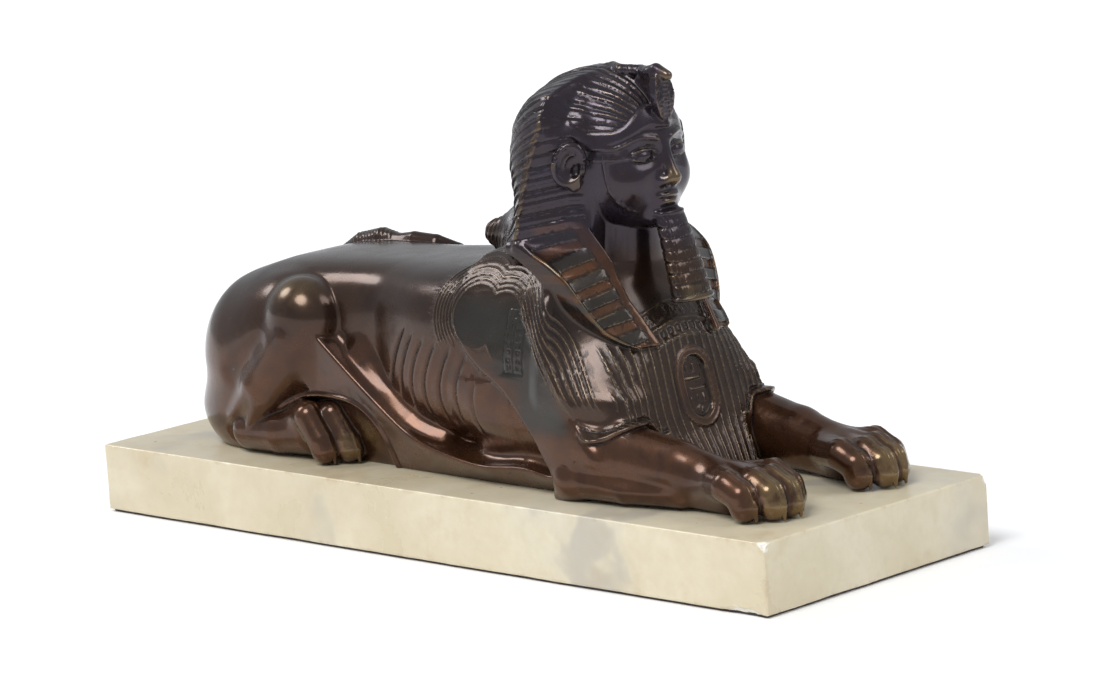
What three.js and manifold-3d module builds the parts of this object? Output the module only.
// Sphinx statue with its plinth.
// A reclining lion with a human head is cast in bronze as one piece and stands on a
// sawn marble slab, and the slab stands on a thin felt sole.
// Millimetres. The face looks along +X, +Z is up, the origin is the middle of the underside.
//
// The casting is described as a distance: below zero in the metal, above zero in the air.
// Limbs are round cones, muscles are ellipsoids, and blends between them give the fillets.
// The surface where the distance is zero is cut into triangles, and then thinned out.

import * as THREE from "three";
import { ConvexGeometry } from "three/addons/geometries/ConvexGeometry.js";
import { mergeVertices } from "three/addons/utils/BufferGeometryUtils.js";
import Module from "manifold-3d";

// ---------------------------------------------------------------- driving dimensions

const FELT_THICKNESS = 1.2;
const FELT_INSET = 1.5;
const SLAB_LENGTH = 400;
const SLAB_WIDTH = 140.5;
const SLAB_THICKNESS = 30;
const ARRIS = 0.8; // width of the softened edges of the slab
const GROUND = FELT_THICKNESS + SLAB_THICKNESS; // the statue stands at this height

const BACK_TOP = [[-130, 114], [-105, 117], [-80, 118.5], [-55, 119.5], [-20, 121.5], [10, 124], [45, 127], [80, 126]];
const BACK_HALF_WIDTH = [[-130, 44], [-105, 43], [-75, 40], [-52, 39], [-38, 42], [-18, 47], [8, 49.5], [35, 48], [80, 40]];
const BELLY = 40;
const RUMP_FROM = -120;
const RUMP_LENGTH = 50;
const CHEST_FROM = 40;
const CHEST_LENGTH = 50;

const HIND_TOES = [-62, -58, -59.5, -67]; // where each toe ends, from the inner toe to the outer
const FORE_TOES = [179, 185.5, 184, 176];
const HIND_TOE_RADIUS = 6.4;
const FORE_TOE_RADIUS = 6.6;

const SURFACE_CELL = 1.7; // size of the cells the surface is first cut with
const CASTING_TRIANGLES = 9100;

// ---------------------------------------------------------------- helpers

const clamp = (v, lo, hi) => Math.min(Math.max(v, lo), hi);

// An eased step from 0 at lo to 1 at hi.
function ramp(lo, hi, v) {
  const t = clamp((v - lo) / (hi - lo), 0, 1);
  return t * t * (3 - 2 * t);
}

// A smooth bump: 1 at u = 0, and 0 beyond w on both sides.
function hump(u, w) {
  const t = clamp(1 - (u / w) ** 2, 0, 1);
  return t * t;
}

// A smooth curve through rows of [place, value].
function curve(rows, at) {
  const last = rows.length - 1;
  if (at <= rows[0][0]) return rows[0][1];
  if (at >= rows[last][0]) return rows[last][1];
  let i = 0;
  while (rows[i + 1][0] < at) i++;
  const slope = (p, q) => (rows[q][1] - rows[p][1]) / (rows[q][0] - rows[p][0]);
  const from = slope(Math.max(i - 1, 0), i + 1);
  const to = slope(i, Math.min(i + 2, last));
  const d = rows[i + 1][0] - rows[i][0];
  const t = (at - rows[i][0]) / d;
  const t2 = t * t;
  const t3 = t2 * t;
  const ends = (2 * t3 - 3 * t2 + 1) * rows[i][1] + (3 * t2 - 2 * t3) * rows[i + 1][1];
  return ends + (t3 - 2 * t2 + t) * from * d + (t3 - t2) * to * d;
}

// Two shapes joined, kept only where both are, or one cut out of the other.
// The edge between them gets a fillet about k wide.
function join(a, b, k) {
  const h = Math.max(k - Math.abs(a - b), 0) / k;
  return Math.min(a, b) - (h * h * k) / 4;
}
const meet = (a, b, k) => -join(-a, -b, k);
const cut = (a, b, k) => -join(-a, b, k);

// An ellipsoid: centre c, radii r, nose up by tilt, turned about the upright by turn.
function ball(x, y, z, c, r, tilt = 0, turn = 0) {
  let dx = x - c[0];
  let dy = y - c[1];
  let dz = z - c[2];
  [dx, dy] = [Math.cos(turn) * dx + Math.sin(turn) * dy, Math.cos(turn) * dy - Math.sin(turn) * dx];
  [dx, dz] = [Math.cos(tilt) * dx + Math.sin(tilt) * dz, Math.cos(tilt) * dz - Math.sin(tilt) * dx];
  const near = Math.hypot(dx / r[0], dy / r[1], dz / r[2]);
  const steep = Math.hypot(dx / r[0] ** 2, dy / r[1] ** 2, dz / r[2] ** 2);
  return (near * (near - 1)) / Math.max(steep, 1e-9);
}

// A round cone between two ends, each [x, y, z, radius].
function rod(x, y, z, a, b) {
  const u = [b[0] - a[0], b[1] - a[1], b[2] - a[2]];
  const p = [x - a[0], y - a[1], z - a[2]];
  const length2 = u[0] ** 2 + u[1] ** 2 + u[2] ** 2;
  const t = clamp((p[0] * u[0] + p[1] * u[1] + p[2] * u[2]) / length2, 0, 1);
  const off = Math.hypot(p[0] - t * u[0], p[1] - t * u[1], p[2] - t * u[2]);
  return off - (a[3] + (b[3] - a[3]) * t);
}

// Round cones one after another, with a soft joint between each two.
function chain(x, y, z, rows, k) {
  let d = rod(x, y, z, rows[0], rows[1]);
  for (let i = 1; i < rows.length - 1; i++) {
    d = join(d, rod(x, y, z, rows[i], rows[i + 1]), k < 1 ? 0.3 : k * 0.25);
  }
  return d;
}

// The same as rod, but flat: ends are [u, v, radius].
function taper(u, v, a, b) {
  const du = b[0] - a[0];
  const dv = b[1] - a[1];
  const t = clamp(((u - a[0]) * du + (v - a[1]) * dv) / (du * du + dv * dv), 0, 1);
  return Math.hypot(u - a[0] - t * du, v - a[1] - t * dv) - (a[2] + (b[2] - a[2]) * t);
}

function block(u, v, w, halfU, halfV, halfW, r) {
  const a = Math.abs(u) - halfU + r;
  const b = Math.abs(v) - halfV + r;
  const c = Math.abs(w) - halfW + r;
  const outside = Math.hypot(Math.max(a, 0), Math.max(b, 0), Math.max(c, 0));
  return outside + Math.min(Math.max(a, b, c), 0) - r;
}

// ---------------------------------------------------------------- trunk

// The trunk is flat on the back, round at the belly, and rounds off at the rump.
function trunk(x, y, z) {
  const top = curve(BACK_TOP, x);
  const half = curve(BACK_HALF_WIDTH, x);
  const e = clamp((RUMP_FROM - x) / RUMP_LENGTH, 0, 1.15);
  const f = clamp((x - CHEST_FROM) / CHEST_LENGTH, 0, 1.15);
  const s = Math.sqrt(Math.max(1 - e * e, 0.0025)) * Math.sqrt(Math.max(1 - f * f, 0.0025));
  const middle = 78 - 16 * ramp(0, 1, e);
  const upper = z > middle;
  const h = upper ? top - 78 : middle - BELLY;
  const n = upper ? 3.9 : 2.3;
  const across = (Math.abs(y) / (half * s)) ** n;
  const upright = (Math.abs(z - middle) / (h * s)) ** n;
  let d = ((across + upright) ** (1 / n) - 1) * Math.min(half, h) * s * 0.9;
  if (e > 1) d = Math.max(d, (e - 1) * RUMP_LENGTH);
  if (f > 1) d = Math.max(d, (f - 1) * CHEST_LENGTH);
  return d;
}

// The fold of skin that hangs from the knee to the elbow, and the casting below it.
const FOLD_TOP = [[-80, 92], [-62, 78], [-42, 63], [-24, 51], [-8, 45], [20, 40.5], [45, 42], [60, 40]];
function skinFold(x, a, z) {
  const top = curve(FOLD_TOP, x);
  const side = 40 + 10.5 * clamp((z - GROUND) / Math.max(top - GROUND, 1), 0, 1) ** 0.8;
  const d = meet(a - side, z - top, 2.5);
  return Math.max(d, -86 - x, x - 74) * 0.85;
}

const SOFT_RIDGE = [[-60, 37.5, 80, 3.2], [-42, 41, 60.5, 3.4], [-28, 41, 53, 2.8], [-12, 38, 46, 2]];
const softRidge = (x, a, z) => chain(x, a, z, SOFT_RIDGE, 2);

// ---------------------------------------------------------------- hind leg

function haunch(x, a, z) {
  let d = ball(x, a, z, [-125, 25, 71], [40, 30, 40], 0.1);
  d = join(d, ball(x, a, z, [-132, 25, 48], [38, 27, 26]), 6);
  d = join(d, ball(x, a, z, [-104, 36, 84], [30, 19, 28], -0.3), 8);
  d = join(d, chain(x, a, z, [[-92, 45, 86, 13], [-112, 47, 62, 12], [-125, 46, 46, 10]], 8), 4);
  d = join(d, ball(x, a, z, [-90, 41, 95], [18.5, 16.5, 17], -0.4), 2);
  d = cut(d, rod(x, a, z, [-107, 60, 84, 2], [-128, 59, 68, 3.2]), 7);
  return cut(d, rod(x, a, z, [-114, 62, 58, 2], [-131, 52, 39, 4.5]), 4);
}

// Toes side by side on the ground. Each comes out of the foot, arches and bends down.
function toes(x, a, z, fronts, middle, pitch, r, top, length) {
  let d = 1000;
  fronts.forEach((front, i) => {
    const place = (i - (fronts.length - 1) / 2) * pitch;
    const toe = [
      [front - length, middle + place * 0.5, GROUND + top - r - 1, r],
      [front - r * 2.4, middle + place, GROUND + top - r, r * 1.02],
      [front - r * 1.25, middle + place, GROUND + r + 4.2, r],
      [front - r, middle + place, GROUND + r + 0.2, r * 0.98],
    ];
    d = join(d, chain(x, a, z, toe, 3), 1.3);
  });
  return d;
}

function hindFoot(x, a, z) {
  const heel = chain(x, a, z, [[-126, 45, 41, 9.5], [-106, 44.5, 42, 10.2], [-90, 42, 44, 12]], 6);
  return join(heel, toes(x, a, z, HIND_TOES, 39.5, 7.8, HIND_TOE_RADIUS, 27, 26), 4);
}

// The foot lies in a shallow arched recess with a thin raised rim.
const ARCH_MIDDLE = -72;
const ARCH_HEIGHT = 28;
function archedRecess(x, z) {
  const half = x < ARCH_MIDDLE ? 36 : 33;
  const across = (Math.abs(x - ARCH_MIDDLE) / half) ** 2.6;
  const upright = (Math.max(z - 33, 0) / ARCH_HEIGHT) ** 2.6;
  const edge = ((across + upright) ** (1 / 2.6) - 1) * ARCH_HEIGHT;
  const fade = ramp(-110, -98, x);
  return (1.2 * hump(edge, 1.9) - 2 * ramp(0, -3, edge)) * fade;
}

// ---------------------------------------------------------------- foreleg

const SHOULDER_SIDE = [[38, 53], [60, 53.5], [80, 53], [95, 51.5], [108, 48], [118, 43], [126, 35.5], [131, 25], [133.5, 10]];
function shoulder(x, a, z) {
  const outline = join(Math.hypot(x - 36, z - 111) - 28, taper(x, z, [44, 95, 16.5], [80, 47, 12]), 14);
  let d = meet(outline, (a - curve(SHOULDER_SIDE, z)) * 0.9, 3);
  d = meet(d, z - 132.5, 5);
  return meet(d, 13 - a, 14);
}

function foreleg(x, a, z) {
  let d = shoulder(x, a, z);
  const arm = [[74, 4, 50, 15], [98, 3, 49, 15.8], [126, 0.5, 45.8, 13.6], [152, -2.5, 41.5, 11.2]];
  d = join(d, chain(x, (a - 37.5) * 1.3, z, arm, 8) * 0.85, 9);
  d = join(d, chain(x, a, z, [[76, 47.5, 40, 8], [104, 46.5, 38.5, 6.5], [130, 42, 37.5, 5]], 5), 3);
  d = join(d, rod(x, a, z, [74, 47, 38, 8], [70, 47, 33, 6]), 5);
  return cut(d, rod(x, a, z, [86, 57.5, 45.5, 2.6], [128, 50.5, 42.5, 1.2]), 4);
}

const forePaw = (x, a, z) => toes(x, a, z, FORE_TOES, 34, 8.4, FORE_TOE_RADIUS, 21, 30);

// ---------------------------------------------------------------- breast and its cloth

const BREAST_FRONT = [
  [30, 118], [45, 112], [57, 106.5], [73, 102], [89, 98.5], [95, 96.8], [104, 92.5], [113, 87], [122, 80], [132, 72],
];
const BREAST_HALF_WIDTH = [[30, 36], [45, 41], [61, 48.5], [75, 48.5], [89, 46.5], [104, 43.5], [113, 41], [122, 37], [132, 26]];
const BREAST_SQUARENESS = [[74, 4.6], [86, 3.4], [97, 2.5], [110, 2.2]];
function breast(x, y, z) {
  const deep = x > 42 ? curve(BREAST_FRONT, z) - 42 : 36;
  const half = curve(BREAST_HALF_WIDTH, z);
  const n = curve(BREAST_SQUARENESS, z);
  const rho = ((Math.abs(x - 42) / deep) ** n + (Math.abs(y) / half) ** n) ** (1 / n);
  return meet((rho - 1) * Math.min(deep, half) * 0.9, z - 131, 12);
}

// The cloth ends in a rolled hem: over the forelegs, and down their inner sides.
const HEM_HEIGHT = [[60, 92], [76, 69], [83, 60.5], [90, 57.3], [97, 58.2], [104, 61.8], [110, 64], [120, 62]];
const HEM_REACH = [[31, 114], [40, 110.5], [50, 108.5], [58, 110.5], [66, 112.5]];
const CLOTH_FROM = [[60, 83], [66, 79], [89, 61], [112, 45], [130, 36]];
function pastHem(x, a, z) {
  const between = x - curve(HEM_REACH, z);
  const over = Math.max((curve(HEM_HEIGHT, x) - z) * 0.9, x - 111);
  const t = ramp(26, 34, a);
  return between * (1 - t) + over * t - 12 * ramp(23, 19, a);
}

function cloth(x, a, z, body) {
  const past = pastHem(x, a, z);
  const from = x - curve(CLOTH_FROM, z);
  const thickness = (1.3 + 0.9 * hump(past + 1.7, 1.7)) * ramp(0, 8, from) - 0.6 * ramp(3, 0, from);
  return meet(body - thickness, past, 1.2);
}

// ---------------------------------------------------------------- head

const neck = (x, y, z) => rod(x, y, z, [60, 0, 112, 24], [66, 0, 150, 17]);

function face(x, y, z) {
  const a = Math.abs(y);
  let d = ball(x, y, z, [69, 0, 171], [25.5, 25.6, 31]);
  d = join(d, ball(x, y, z, [66, 0, 165], [14, 29, 22]), 4);
  d = join(d, ball(x, y, z, [75, 0, 154], [17.5, 19, 15]), 7);
  d = join(d, ball(x, a, z, [83, 13, 161], [8.5, 8.5, 9]), 5);
  d = join(d, ball(x, y, z, [88.5, 0, 145.5], [6.5, 7.5, 5.5]), 5);
  d = join(d, ball(x, y, z, [87.5, 0, 153], [6.5, 8.5, 5.5]), 4);
  d = cut(d, ball(x, a, z, [95.3, 10.2, 172.3], [6.5, 7.4, 4.2], 0, 0.38), 4);
  d = join(d, ball(x, a, z, [87.5, 10.2, 171.8], [5.2, 6.2, 3.4], 0, 0.28), 0.8);
  return mouth(x, y, z, join(d, nose(x, a, z), 2.6));
}

function nose(x, a, z) {
  let d = rod(x, a, z, [91.5, 0, 177, 2], [97.2, 0, 162.3, 2.7]);
  d = join(d, ball(x, a, z, [97, 0, 161.5], [3.3, 3.2, 2.9]), 2);
  return join(d, ball(x, a, z, [94.3, 3.6, 160.6], [3.2, 2, 2.3]), 1.6);
}

function mouth(x, y, z, head) {
  const corner = 0.005 * y * y;
  let d = join(head, ball(x, y, z + corner, [93.4, 0, 154.4], [2.2, 6.4, 1.25]), 0.9);
  d = join(d, ball(x, y, z, [93, 0, 151.5], [2.3, 4.9, 1.5]), 1);
  d = cut(d, ball(x, y, z + corner, [96, 0, 152.95], [2, 5.8, 0.35]), 0.6);
  return cut(d, ball(x, y, z, [95.2, 0, 148.9], [2.2, 5, 1.2]), 1.6);
}

function ear(x, a, z) {
  let d = ball(x, a, z, [69.4, 32.6, 169.8], [8.6, 4.2, 10.2], 0.1, -0.75);
  d = cut(d, ball(x, a, z, [72.6, 35.8, 171.2], [5, 3, 6.4], 0.1, -0.75), 1.2);
  return join(d, ball(x, a, z, [73, 33.4, 161.6], [3, 2.6, 3]), 1.5);
}

function beard(x, y, z) {
  const t = clamp((145 - z) / 35, 0, 1);
  const front = 97.9 + 11 * t ** 0.85;
  const half = 7.6 + 3.5 * t;
  const u = Math.abs(x - front + 4.4) / 4.4;
  const round = (u ** 2.4 + (Math.abs(y) / half) ** 2.4) ** (1 / 2.4);
  return meet((round - 1) * 4.6, Math.max(110.6 - z, z - 148), 1);
}

// ---------------------------------------------------------------- head cloth

// The cloth spreads into two wings. Each ends in an upright ridge beside the ear.
const RIDGE_X = [[118, 44], [137, 48.5], [150, 51], [169, 55], [185, 59], [194, 61], [199, 62.5], [206, 64]];
const RIDGE_Y = [[118, 47], [137, 48], [150, 46.8], [169, 44], [185, 40.5], [194, 37], [199, 32.5], [206, 16]];
const BACK_X = [[118, 33], [137, 30], [150, 27], [165, 25.5], [185, 24.5], [194, 31], [200, 40], [206, 55]];
const APEX_X = [[118, -4], [133, 1], [150, 9], [165, 17], [185, 22]];
const LEAN = [[128, 1.45], [137, 1.26], [150, 1.02], [170, 0.98], [186, 0.92], [199, 0.55], [206, 0.4]];
const WING_BOTTOM = [[-10, 124], [30, 130], [47, 135], [56, 133], [64, 130], [72, 124], [80, 112], [90, 96]];
function wings(x, a, z) {
  const ridge = curve(RIDGE_X, z);
  const half = curve(RIDGE_Y, z);
  const rear = ridge - curve(BACK_X, z);
  const slope = (half - 6) / (ridge - curve(APEX_X, z));
  const round = (Math.hypot((x - ridge) / rear, a / half) - 1) * Math.min(rear, half);
  const straight = (a - 6 - (x - curve(APEX_X, z)) * slope) / Math.hypot(1, slope);
  const t = ramp(172, 138, z);
  const lean = curve(LEAN, z);
  const back = x < ridge ? round * (1 - t) + straight * t : a - half;
  const front = (x - ridge - (half - a) * lean) / Math.hypot(1, lean);
  const d = meet(meet(back, front, 1.6), z - 206, 3);
  return meet(d, curve(WING_BOTTOM, x) - z, 1.2) * 0.9;
}

function dome(x, y, z) {
  const long = x > 62 ? 32.5 : 42;
  const wide = 27.5 + 8 * ramp(66, 50, x);
  const rho = (((x - 62) / long) ** 2 + (y / wide) ** 2 + (Math.abs(z - 170) / 37.3) ** 2.3) ** 0.5;
  const band = 184.5 - 10 * ramp(5, 21, Math.abs(y)) - 45 * ramp(74, 58, x);
  return meet((rho - 1) * 30, band - z, 2);
}

const OPENING = [[112, 20], [129, 23.5], [146, 27.5], [160, 26], [190, 26]];
const WING_PROUD = [[120, 60], [160, 30], [172, 18], [182, 9], [190, 5], [200, 3], [210, 3]];
function headCloth(x, y, z) {
  const a = Math.abs(y);
  const top = dome(x, y, z);
  const wing = Math.max(wings(x, a, z), top - curve(WING_PROUD, z) - 25 * ramp(67, 50, x));
  const sides = Math.max(a - curve(OPENING, z), 73 - x);
  const opening = Math.max(sides, z - 183 + 0.5 * Math.max(a - 10, 0), 100 - z);
  return cut(join(wing, top, 3), opening, 1.5);
}

// The two ends of the cloth that hang down on the breast.
const LAPPET_INNER = [[93, 17], [112, 20.5], [129, 24], [149, 30], [160, 33]];
const LAPPET_OUTER = [[93, 26], [94.5, 30], [97, 33.5], [104, 38.5], [112, 42.5], [124, 46], [137, 47.5], [160, 47]];
const INNER_X = [[90, 95], [100, 92.6], [112, 88.5], [129, 80.6], [149, 68], [160, 64]];
const OUTER_X = [[90, 89], [100, 85.5], [112, 79.5], [124, 72], [130, 64], [135, 54], [140, 48], [149, 49], [160, 50]];
function lappet(x, a, z, under) {
  const inner = curve(LAPPET_INNER, z);
  const outer = curve(LAPPET_OUTER, z);
  const t = (a - inner) / (outer - inner);
  const front = curve(INNER_X, z) + (curve(OUTER_X, z) - curve(INNER_X, z)) * clamp(t, -0.2, 1.2);
  const sides = Math.max(inner - a, a - outer);
  let high = meet((x - front) * 0.75, sides * 0.8, 1.2);
  high = meet(high, Math.max(93 - z, z - 150 + 13 * clamp(t, 0, 1)), 1.5);
  const low = meet(under - 3.9, Math.max(sides * 0.9, 93.5 - z), 1.2);
  return Math.min(Math.max(high, front - 14 - x), Math.max(low, z - 118, 50 - x));
}

// The rearing cobra on the brow, and its body coiled back over the crown.
const COBRA_COIL = [[87, 0, 205, 2.7], [80, 2.5, 205.3, 2.6], [73, -2.5, 206.2, 2.4], [66, 0.5, 207, 2], [58, 0, 206.4, 1]];
function cobra(x, y, z) {
  const t = clamp((z - 186) / 20, 0, 1);
  const middle = 93.6 + 0.6 * t - 2.6 * t ** 3;
  const half = 2.6 + 3 * Math.sin(clamp(t * 1.15, 0, 1) * Math.PI * 0.85);
  const shield = Math.max((Math.abs(y) - half) * 0.9, Math.abs(x - middle) - 2.2);
  let d = meet(shield, Math.max(186 - z, z - 205.5), 1.5);
  d = join(d, chain(x, y, z, [[87, 0, 205.4, 2.8], [91, 0, 206.6, 2.9], [97.2, 0, 204.6, 2.2]], 2), 1.5);
  d = join(d, block(x - 87, y, z - 194, 7.5, 2.3, 10.5, 2), 2);
  return join(d, chain(x, y, z, COBRA_COIL, 1.5), 1.2);
}

const PIGTAIL = [[14, 0, 136, 8], [4, 0, 132.5, 6.8], [-8, 0, 131, 5.8]];

// ---------------------------------------------------------------- tail

// The tail comes round the far haunch, loops over the back and ends in a tuft.
const TAIL = [
  [-163, 6, 56, 4.6], [-156, 26, 57, 4.2], [-140, 45, 62, 4], [-120, 54, 70, 3.8], [-100, 57, 80, 3.7],
  [-84, 53, 91, 3.6], [-75, 46, 102, 3.6], [-73, 38, 111.6, 3.6], [-80, 31.5, 116, 3.6],
  [-91, 29, 117, 3.6], [-101, 29, 115.3, 3.7],
];
const TUFT = [[-101, 29, 115.3, 3.7], [-112, 29.5, 115.5, 5.2], [-126, 30, 113, 4.6], [-142, 31, 107.5, 1.6]];
const tail = (x, y, z) => join(chain(x, y, z, TAIL, 2), chain(x, y, z, TUFT, 1), 1);

// ---------------------------------------------------------------- the whole casting

// Each step is [x from, x to, half width, z from, z to, what it does to the distance so far].
const STEPS = [
  [-172, 90, 52, 30, 130, (d, x, y, a, z) => Math.min(d, trunk(x, y, z))],
  [-86, 70, 52, 30, 96, (d, x, y, a, z) => join(d, skinFold(x, a, z), 5)],
  [-72, -10, 48, 40, 104, (d, x, y, a, z) => join(d, softRidge(x, a, z), 8)],
  [-170, -70, 60, 30, 116, (d, x, y, a, z) => join(d, haunch(x, a, z), 4)],
  [-112, -34, 60, 30, 66, (d, x, y, a, z) => (a > 30 ? d - archedRecess(x, z) : d)],
  [-146, -48, 56, 30, 64, (d, x, y, a, z) => (a > 24 ? join(d, hindFoot(x, a, z), 0.6) : d)],
  [0, 119, 50, 30, 131, (d, x, y, a, z) => join(d, breast(x, y, z), 8)],
  [6, 166, 60, 30, 131, (d, x, y, a, z) => join(d, foreleg(x, a, z), 1.2)],
  [140, 192, 56, 30, 60, (d, x, y, a, z) => join(d, forePaw(x, a, z), 5)],
  [50, 122, 56, 26, 126, clothe],
  [34, 90, 24, 112, 150, (d, x, y, a, z) => join(d, neck(x, y, z), 5)],
  [50, 98, 52, 90, 156, (d, x, y, a, z) => join(d, lappet(x, a, z, breast(x, y, z)), 1.5)],
  [-4, 98, 52, 128, 209, (d, x, y, a, z) => join(d, headCloth(x, y, z), 2)],
  [50, 101, 30, 138, 190, (d, x, y, a, z) => join(d, face(x, y, z), 1.2)],
  [60, 81, 42, 156, 182, (d, x, y, a, z) => join(d, ear(x, a, z), 1)],
  [88, 112, 13, 110, 148, (d, x, y, a, z) => join(d, beard(x, y, z), 1.2)],
  [56, 100, 7, 184, 210, (d, x, y, a, z) => join(d, cobra(x, y, z), 0.8)],
  [-15, 20, 12, 124, 142, (d, x, y, a, z) => join(d, chain(x, y, z, PIGTAIL, 4), 4)],
  [-172, -58, 64, 50, 124, (d, x, y, a, z) => (y > -8 ? join(d, tail(x, y, z), 1.5) : d)],
];
const MARGIN = 9; // a step is worked out this far outside its own box, so its blend is whole

function clothe(d, x, y, a, z) {
  const blend = 1.2 + 12 * ramp(52, 64, x) * ramp(62, 76, z);
  const body = join(breast(x, y, z), foreleg(x, a, z), blend);
  return Math.min(d, body, cloth(x, a, z, body));
}

function casting(x, y, z) {
  const a = Math.abs(y);
  let d = 1000;
  for (const [x0, x1, half, z0, z1, apply] of STEPS) {
    const near = x > x0 - MARGIN && x < x1 + MARGIN && a < half + MARGIN && z > z0 - MARGIN && z < z1 + MARGIN;
    if (near) d = apply(d, x, y, a, z);
  }
  return Math.max(d, GROUND - z);
}

// ---------------------------------------------------------------- from distance to triangles

const LOW = [-186, -72, GROUND - 3];
const HIGH = [198, 72, 213];
const BLOCK = 6; // cells along the side of a block that is skipped when the surface is far from it

// The distance at the corners of a grid of cells.
function sample(distance, size) {
  const count = LOW.map((low, i) => Math.ceil((HIGH[i] - low) / size) + 1);
  const values = new Float32Array(count[0] * count[1] * count[2]);
  const at = (i, axis) => LOW[axis] + i * size;
  const blocks = count.map((n) => Math.ceil(n / BLOCK));
  for (let b = 0; b < blocks[0] * blocks[1] * blocks[2]; b++) {
    const from = [b % blocks[0], Math.floor(b / blocks[0]) % blocks[1], Math.floor(b / blocks[0] / blocks[1])];
    const [i0, j0, k0] = from.map((v) => v * BLOCK);
    const middle = distance(at(i0 + BLOCK / 2, 0), at(j0 + BLOCK / 2, 1), at(k0 + BLOCK / 2, 2));
    const far = Math.abs(middle) > BLOCK * size * 1.5 + 3;
    for (let k = k0; k < Math.min(k0 + BLOCK, count[2]); k++) {
      for (let j = j0; j < Math.min(j0 + BLOCK, count[1]); j++) {
        for (let i = i0; i < Math.min(i0 + BLOCK, count[0]); i++) {
          const here = far ? middle : distance(at(i, 0), at(j, 1), at(k, 2));
          values[i + count[0] * (j + count[1] * k)] = here;
        }
      }
    }
  }
  return { values, count };
}

// Each cell is six tetrahedra round its long diagonal. A tetrahedron with corners on both
// sides of the surface gives one or two triangles, and neighbours share their points.
const WALKS = [[1, 2, 4], [1, 4, 2], [2, 1, 4], [2, 4, 1], [4, 1, 2], [4, 2, 1]];
function surface(distance, size) {
  const { values, count } = sample(distance, size);
  const points = [];
  const faces = [];
  const known = new Map();
  const step = [1, count[0], count[0] * count[1]];
  const shift = (bits) => (bits & 1) * step[0] + ((bits >> 1) & 1) * step[1] + (bits >> 2) * step[2];

  function crossing(base, p, q) {
    const low = Math.min(p, q);
    const key = (base + shift(low)) * 8 + (p ^ q);
    if (known.has(key)) return known.get(key);
    const a = values[base + shift(p)];
    const t = clamp(a / (a - values[base + shift(q)]), 0.06, 0.94);
    const cell = [base % count[0], Math.floor(base / step[1]) % count[1], Math.floor(base / step[2])];
    const along = (bit) => ((p >> bit) & 1) * (1 - t) + ((q >> bit) & 1) * t;
    known.set(key, points.length / 3);
    points.push(...cell.map((c, axis) => LOW[axis] + (c + along(axis)) * size));
    return points.length / 3 - 1;
  }

  function triangle(base, a, b, c, inside, outside) {
    const p = (v, axis) => points[v * 3 + axis];
    const u = [0, 1, 2].map((axis) => p(b, axis) - p(a, axis));
    const v = [0, 1, 2].map((axis) => p(c, axis) - p(a, axis));
    const out = [0, 1, 2].map((bit) => ((outside >> bit) & 1) - ((inside >> bit) & 1));
    const turn = (u[1] * v[2] - u[2] * v[1]) * out[0] + (u[2] * v[0] - u[0] * v[2]) * out[1];
    if (turn + (u[0] * v[1] - u[1] * v[0]) * out[2] > 0) faces.push(a, b, c);
    else faces.push(a, c, b);
  }

  for (let base = 0; base < values.length; base++) {
    const i = base % count[0];
    const j = Math.floor(base / step[1]) % count[1];
    if (i + 1 === count[0] || j + 1 === count[1] || base + step[2] + step[1] + 1 >= values.length) continue;
    const first = values[base] < 0;
    if ([1, 2, 3, 4, 5, 6, 7].every((bits) => values[base + shift(bits)] < 0 === first)) continue;
    for (const walk of WALKS) {
      const corners = [0, walk[0], walk[0] | walk[1], 7];
      const inner = corners.filter((c) => values[base + shift(c)] < 0);
      const outer = corners.filter((c) => values[base + shift(c)] >= 0);
      if (inner.length === 0 || outer.length === 0) continue;
      const cross = (p, q) => crossing(base, p, q);
      if (inner.length === 2) {
        const [a, b, c, d] = [
          cross(inner[0], outer[0]), cross(inner[0], outer[1]),
          cross(inner[1], outer[1]), cross(inner[1], outer[0]),
        ];
        triangle(base, a, b, c, inner[0], outer[1]);
        triangle(base, a, c, d, inner[1], outer[0]);
      } else {
        const lone = inner.length === 1 ? inner[0] : outer[0];
        const rest = inner.length === 1 ? outer : inner;
        const [a, b, c] = rest.map((corner) => cross(lone, corner));
        triangle(base, a, b, c, inner[0], outer[0]);
      }
    }
  }
  return { points, faces: largestBody(faces, points.length / 3) };
}

// Blends can leave a bubble inside the metal. Only the outer surface is kept.
function largestBody(faces, count) {
  const leader = Int32Array.from({ length: count }, (_, v) => v);
  const find = (v) => {
    while (leader[v] !== v) v = leader[v] = leader[leader[v]];
    return v;
  };
  for (let f = 0; f < faces.length; f += 3) {
    leader[find(faces[f])] = find(faces[f + 1]);
    leader[find(faces[f + 1])] = find(faces[f + 2]);
  }
  const size = new Int32Array(count);
  for (let f = 0; f < faces.length; f += 3) size[find(faces[f])]++;
  const body = size.indexOf(Math.max(...new Set(size)));
  return faces.filter((v) => find(v) === body);
}

// ---------------------------------------------------------------- thinning out

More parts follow.
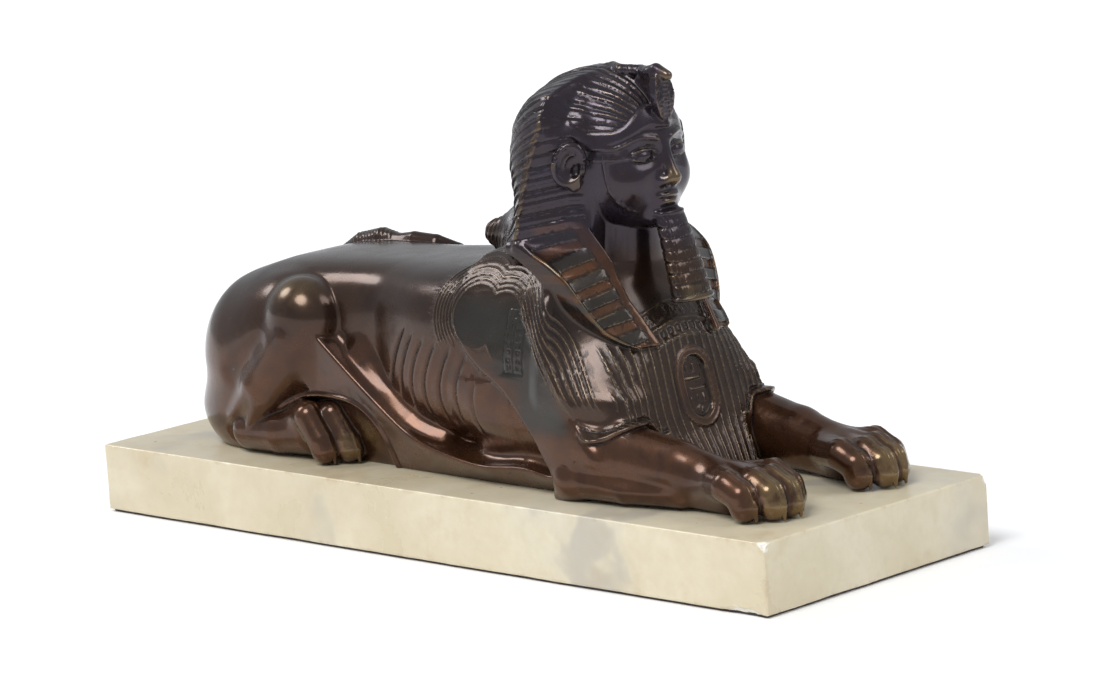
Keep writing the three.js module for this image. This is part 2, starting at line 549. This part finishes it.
// Every point carries the planes of the faces round it. The edge whose two ends can become
// one point nearest to all their planes goes first, until few enough faces are left.
// A larger weight keeps a place finer.
function thinOut({ points, faces }, target, weight) {
  const count = points.length / 3;
  const planes = new Float64Array(count * 10);
  const round = Array.from({ length: count }, () => []);
  const age = new Int32Array(count);
  let left = faces.length / 3;
  const P = (v) => [points[v * 3], points[v * 3 + 1], points[v * 3 + 2]];
  const minus = (a, b) => [a[0] - b[0], a[1] - b[1], a[2] - b[2]];
  const dot = (a, b) => a[0] * b[0] + a[1] * b[1] + a[2] * b[2];
  const cross = (a, b) => [a[1] * b[2] - a[2] * b[1], a[2] * b[0] - a[0] * b[2], a[0] * b[1] - a[1] * b[0]];

  for (let f = 0; f < left; f++) {
    const [a, b, c] = [P(faces[f * 3]), P(faces[f * 3 + 1]), P(faces[f * 3 + 2])];
    const n = cross(minus(b, a), minus(c, a));
    const area2 = Math.sqrt(dot(n, n));
    for (let i = 0; i < 3; i++) round[faces[f * 3 + i]].push(f);
    if (area2 < 1e-12) continue;
    const m = n.map((v) => v / area2);
    const e = -dot(m, a);
    const w = area2 * weight(a[0], a[1], a[2]);
    const row = [m[0] * m[0], m[0] * m[1], m[0] * m[2], m[0] * e, m[1] * m[1], m[1] * m[2], m[1] * e];
    row.push(m[2] * m[2], m[2] * e, e * e);
    for (let i = 0; i < 3; i++) row.forEach((v, r) => (planes[faces[f * 3 + i] * 10 + r] += v * w));
  }

  // The best single point for an edge, held lightly to the middle of the edge.
  function offer(a, b) {
    const q = new Float64Array(10);
    for (let r = 0; r < 10; r++) q[r] = planes[a * 10 + r] + planes[b * 10 + r];
    const [pa, pb] = [P(a), P(b)];
    const middle = pa.map((v, i) => (v + pb[i]) / 2);
    const hold = 2e-3 * (q[0] + q[4] + q[7]) + 1e-12;
    const A = [q[0] + hold, q[1], q[2], q[4] + hold, q[5], q[7] + hold];
    const r = [hold * middle[0] - q[3], hold * middle[1] - q[6], hold * middle[2] - q[8]];
    const c0 = A[3] * A[5] - A[4] * A[4];
    const c1 = A[2] * A[4] - A[1] * A[5];
    const c2 = A[1] * A[4] - A[2] * A[3];
    const det = A[0] * c0 + A[1] * c1 + A[2] * c2;
    const x = (c0 * r[0] + c1 * r[1] + c2 * r[2]) / det;
    const y = (c1 * r[0] + (A[0] * A[5] - A[2] * A[2]) * r[1] + (A[1] * A[2] - A[0] * A[4]) * r[2]) / det;
    const z = (c2 * r[0] + (A[1] * A[2] - A[0] * A[4]) * r[1] + (A[0] * A[3] - A[1] * A[1]) * r[2]) / det;
    const off = q[0] * x * x + q[4] * y * y + q[7] * z * z + q[9];
    const mixed = 2 * (q[1] * x * y + q[2] * x * z + q[5] * y * z + q[3] * x + q[6] * y + q[8] * z);
    const length = minus(pa, pb);
    const cost = off + mixed + 1e-5 * dot(length, length);
    return { cost, a, b, p: [x, y, z], stamp: age[a] + age[b], tries: 0 };
  }

  const heap = [];
  function put(item) {
    let i = heap.length;
    heap.push(item);
    while (i > 0) {
      const up = (i - 1) >> 1;
      if (heap[up].cost <= item.cost) break;
      heap[i] = heap[up];
      i = up;
    }
    heap[i] = item;
  }
  function take() {
    const top = heap[0];
    const item = heap.pop();
    if (heap.length === 0) return top;
    let i = 0;
    for (;;) {
      let down = 2 * i + 1;
      if (down >= heap.length) break;
      if (down + 1 < heap.length && heap[down + 1].cost < heap[down].cost) down++;
      if (heap[down].cost >= item.cost) break;
      heap[i] = heap[down];
      i = down;
    }
    heap[i] = item;
    return top;
  }

  const corners = (f) => [faces[f * 3], faces[f * 3 + 1], faces[f * 3 + 2]];
  const beside = (v) => new Set(round[v].flatMap(corners).filter((w) => w !== v));
  // Twice the area of a triangle with normal n against the square of its longest side.
  function fullness([a, b, c], n) {
    const sides = [minus(b, a), minus(c, b), minus(a, c)];
    return Math.sqrt(dot(n, n)) / Math.max(...sides.map((side) => dot(side, side)));
  }
  // True when moving v to p neither turns a face over nor makes a needle of it.
  function sound(v, other, p) {
    return round[v].every((f) => {
      const c = corners(f);
      if (c.includes(other)) return true;
      const old = c.map(P);
      const now = c.map((w, i) => (w === v ? p : old[i]));
      const n = cross(minus(old[1], old[0]), minus(old[2], old[0]));
      const m = cross(minus(now[1], now[0]), minus(now[2], now[0]));
      const same = dot(n, m) > 0.2 * Math.sqrt(dot(n, n) * dot(m, m));
      return same && fullness(now, m) > Math.min(0.08, 0.9 * fullness(old, n));
    });
  }

  for (let v = 0; v < count; v++) {
    for (const w of beside(v)) if (w > v) put(offer(v, w));
  }
  while (left > target && heap.length > 0) {
    const item = take();
    const { a, b, p } = item;
    if (round[a].length === 0 || round[b].length === 0 || age[a] + age[b] !== item.stamp) continue;
    const ring = beside(b);
    const shared = [...beside(a)].filter((v) => ring.has(v));
    if (shared.length !== 2 || !sound(a, b, p) || !sound(b, a, p)) {
      if (item.tries < 8) put({ ...item, cost: item.cost * 3 + 1e-3, tries: item.tries + 1 });
      continue;
    }
    for (const f of round[b]) {
      if (corners(f).includes(a)) {
        for (const v of corners(f)) if (v !== b) round[v] = round[v].filter((g) => g !== f);
        left--;
      } else {
        for (let i = 0; i < 3; i++) if (faces[f * 3 + i] === b) faces[f * 3 + i] = a;
        round[a].push(f);
      }
    }
    round[b] = [];
    for (let r = 0; r < 10; r++) planes[a * 10 + r] += planes[b * 10 + r];
    p.forEach((v, i) => (points[a * 3 + i] = v));
    age[a]++;
    for (const w of beside(a)) put(offer(a, w));
  }

  const kept = new Map();
  const keptFaces = [];
  for (let v = 0; v < count; v++) {
    for (const f of round[v]) if (Math.min(...corners(f)) === v) keptFaces.push(...corners(f));
  }
  for (const v of keptFaces) if (!kept.has(v)) kept.set(v, kept.size);
  const keptPoints = [...kept.keys()].flatMap(P);
  return { points: keptPoints, faces: keptFaces.map((v) => kept.get(v)) };
}

// ---------------------------------------------------------------- meshes

function geometryOf({ points, faces }) {
  const geometry = new THREE.BufferGeometry();
  geometry.setAttribute("position", new THREE.Float32BufferAttribute(points, 3));
  geometry.setIndex(faces);
  geometry.computeVertexNormals();
  return geometry;
}

// The head and the paws are kept finer than the smooth body.
function fineness(x, y, z) {
  const head = ramp(128, 146, z) * ramp(20, 50, x);
  const front = ramp(84, 92, x) * ramp(40, 30, Math.abs(y)) * head;
  const paws = ramp(150, 165, x) + ramp(-96, -84, x) * ramp(-44, -52, x) * ramp(62, 56, z);
  return 1 + 5 * head + 14 * front + 2 * paws;
}

function castingGeometry() {
  const thin = thinOut(surface(casting, SURFACE_CELL), CASTING_TRIANGLES, fineness);
  for (let i = 2; i < thin.points.length; i += 3) {
    if (thin.points[i] < GROUND + 0.3) thin.points[i] = GROUND;
  }
  return geometryOf(thin);
}

// The slab with softened edges, a small chip at one top corner and one corner rubbed round.
function slabGeometry() {
  const points = [];
  for (const sx of [-1, 1]) {
    for (const sy of [-1, 1]) {
      for (const sz of [-1, 1]) {
        const chipped = sx > 0 && sy < 0 && sz > 0;
        const rubbed = sx > 0 && sy > 0;
        const c = chipped ? [3.2, 2.2, 2.6] : rubbed ? [2.6, 2.6, ARRIS] : [ARRIS, ARRIS, ARRIS];
        const x = (SLAB_LENGTH / 2) * sx;
        const y = (SLAB_WIDTH / 2) * sy;
        const z = sz > 0 ? GROUND : FELT_THICKNESS;
        points.push(new THREE.Vector3(x, y - sy * c[1], z - sz * c[2]));
        points.push(new THREE.Vector3(x - sx * c[0], y, z - sz * c[2]));
        points.push(new THREE.Vector3(x - sx * c[0], y - sy * c[1], z));
      }
    }
  }
  return new ConvexGeometry(points);
}

// A small flake is missing from the lower front edge.
function flakeGeometry() {
  const y = -SLAB_WIDTH / 2;
  const rows = [[176, y - 1, 0], [189, y - 1, 0], [183, y - 1, 4.4], [180, y + 2.2, 0], [185, y + 2.6, 0], [183, y + 0.8, 3.4]];
  return new ConvexGeometry(rows.map((row) => new THREE.Vector3(...row)));
}

const wasm = await Module();
wasm.setup();

function solidOf(geometry) {
  geometry.deleteAttribute("normal");
  const merged = mergeVertices(geometry, 1e-4);
  return new wasm.Manifold(new wasm.Mesh({
    numProp: 3,
    vertProperties: merged.attributes.position.array,
    triVerts: new Uint32Array(merged.index.array),
  }));
}

function geometryOfSolid(solid) {
  const mesh = solid.getMesh();
  return geometryOf({ points: [...mesh.vertProperties], faces: [...mesh.triVerts] });
}

const bronze = new THREE.MeshStandardMaterial({ color: 0x2c2320, roughness: 0.35, metalness: 0.9 });
const marble = new THREE.MeshStandardMaterial({ color: 0xe9e0c6, roughness: 0.3, metalness: 0 });
const felt = new THREE.MeshStandardMaterial({ color: 0x2e2124, roughness: 0.95, metalness: 0 });

const group = new THREE.Group();

function add(name, geometry, material) {
  const mesh = new THREE.Mesh(geometry, material);
  mesh.name = name;
  group.add(mesh);
}

add("sphinx", castingGeometry(), bronze);

add("plinth", geometryOfSolid(solidOf(slabGeometry()).subtract(solidOf(flakeGeometry()))), marble);

const sole = new THREE.BoxGeometry(SLAB_LENGTH - 2 * FELT_INSET, SLAB_WIDTH - 2 * FELT_INSET, FELT_THICKNESS);
sole.translate(0, 0, FELT_THICKNESS / 2);
add("base_felt", sole, felt);

export default group;
